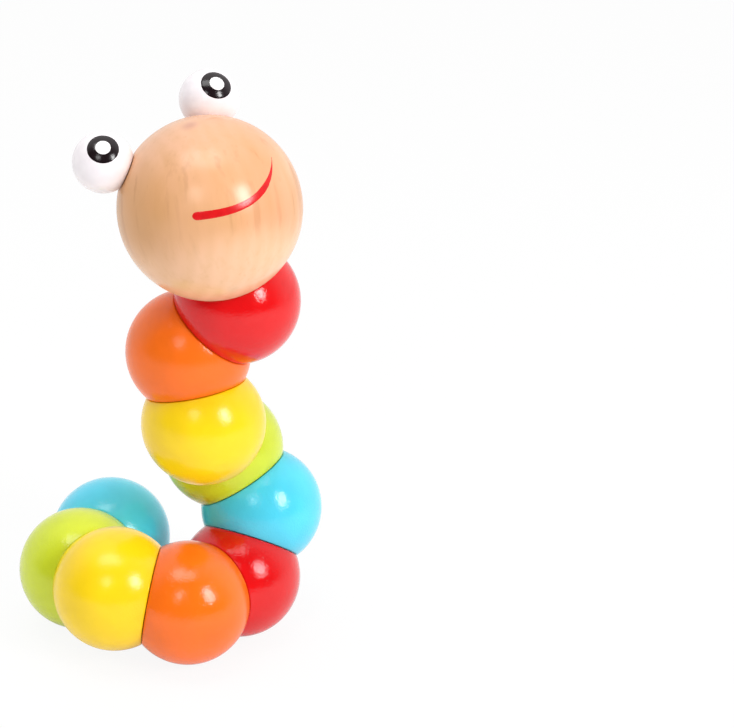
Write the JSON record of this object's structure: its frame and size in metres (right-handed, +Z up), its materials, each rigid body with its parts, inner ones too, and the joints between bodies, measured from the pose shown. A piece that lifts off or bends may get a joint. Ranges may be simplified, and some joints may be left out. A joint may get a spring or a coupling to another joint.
{
  "type": "wooden twist worm toy",
  "caption": "Wooden worm of slant-cut painted balls on an elastic cord, each twisting on the next, with a natural wood head, round ball eyes and a painted smile, coiled to stand up.",
  "frame": {"origin": "on the floor, under the middle of the worm's bounding box, in the pose of the picture", "axes": "+Z up, along the longest extent; the head faces -Y and a little +X; +X is the picture's right"},
  "size_m": [0.0743, 0.0626, 0.1406],
  "materials": {
    "lacquered_wood": "pale natural hardwood under a clear satin lacquer",
    "bare_wood": "plain turned hardwood, unfinished",
    "red_paint": "glossy red paint on turned wood",
    "orange_paint": "glossy orange paint on turned wood",
    "yellow_paint": "glossy yellow paint on turned wood",
    "green_paint": "glossy lime green paint on turned wood",
    "blue_paint": "glossy turquoise blue paint on turned wood",
    "white_paint": "glossy white paint on turned wood, with a painted black pupil and a white dot",
    "elastic": "braided off-white elastic cord"
  },
  "bodies": {
    "head": {"head_ball": "lacquered_wood", "eye_left": "white_paint", "eye_right": "white_paint", "eye_peg_left": "bare_wood", "eye_peg_right": "bare_wood", "neck_bush": "bare_wood", "head_knot": "elastic", "cord_in_head": "elastic"},
    "red_1": {"red_ball_1": "red_paint", "cord_in_red_1": "elastic"},
    "orange_1": {"orange_ball_1": "orange_paint", "cord_in_orange_1": "elastic"},
    "yellow_1": {"yellow_ball_1": "yellow_paint", "cord_in_yellow_1": "elastic"},
    "green_1": {"green_ball_1": "green_paint", "cord_in_green_1": "elastic"},
    "blue_1": {"blue_ball_1": "blue_paint", "cord_in_blue_1": "elastic"},
    "red_2": {"red_ball_2": "red_paint", "cord_in_red_2": "elastic"},
    "orange_2": {"orange_ball_2": "orange_paint", "cord_in_orange_2": "elastic"},
    "yellow_2": {"yellow_ball_2": "yellow_paint", "cord_in_yellow_2": "elastic"},
    "green_2": {"green_ball_2": "green_paint", "cord_in_green_2": "elastic"},
    "blue_2": {"blue_ball_2": "blue_paint", "cord_in_blue_2": "elastic", "tail_knot": "elastic", "tail_plug": "bare_wood"}
  },
  "joints": [
    {"name": "head_twist", "type": "hinge", "parent": "red_1", "child": "head", "pos_m": [0.01456, -0.00239, 0.09613], "axis": [0.2218, 0.2288, -0.9479], "continuous": true},
    {"name": "red_1_twist", "type": "hinge", "parent": "orange_1", "child": "red_1", "pos_m": [0.01073, 0.00007, 0.08076], "axis": [-0.6475, 0.0452, -0.7607], "continuous": true},
    {"name": "orange_1_twist", "type": "hinge", "parent": "yellow_1", "child": "orange_1", "pos_m": [0.00679, -0.00111, 0.06525], "axis": [0.2099, -0.1759, -0.9618], "continuous": true},
    {"name": "yellow_1_twist", "type": "hinge", "parent": "green_1", "child": "yellow_1", "pos_m": [0.01053, 0.00353, 0.05037], "axis": [0.2054, 0.6913, -0.6927], "continuous": true},
    {"name": "green_1_twist", "type": "hinge", "parent": "blue_1", "child": "green_1", "pos_m": [0.01729, 0.0085, 0.03669], "axis": [0.5458, -0.1398, -0.8262], "continuous": true},
    {"name": "blue_1_twist", "type": "hinge", "parent": "red_2", "child": "blue_1", "pos_m": [0.01979, 0.00236, 0.02209], "axis": [-0.2674, -0.5425, -0.7963], "continuous": true},
    {"name": "orange_2_twist", "type": "hinge", "parent": "red_2", "child": "orange_2", "pos_m": [0.01161, -0.00943, 0.01493], "axis": [-0.6413, -0.7673, 0], "range_deg": [-10, 225]},
    {"name": "yellow_2_twist", "type": "hinge", "parent": "orange_2", "child": "yellow_2", "pos_m": [-0.00304, -0.01581, 0.01629], "axis": [-0.9866, 0.0586, 0.1521], "range_deg": [-15, 245]},
    {"name": "green_2_twist", "type": "hinge", "parent": "yellow_2", "child": "green_2", "pos_m": [-0.01706, -0.00802, 0.01629], "axis": [-0.5713, 0.8065, -0.1521], "continuous": true},
    {"name": "blue_2_twist", "type": "hinge", "parent": "green_2", "child": "blue_2", "pos_m": [-0.01939, 0.00779, 0.01493], "axis": [0.3123, 0.95, 0], "continuous": true}
  ]
}
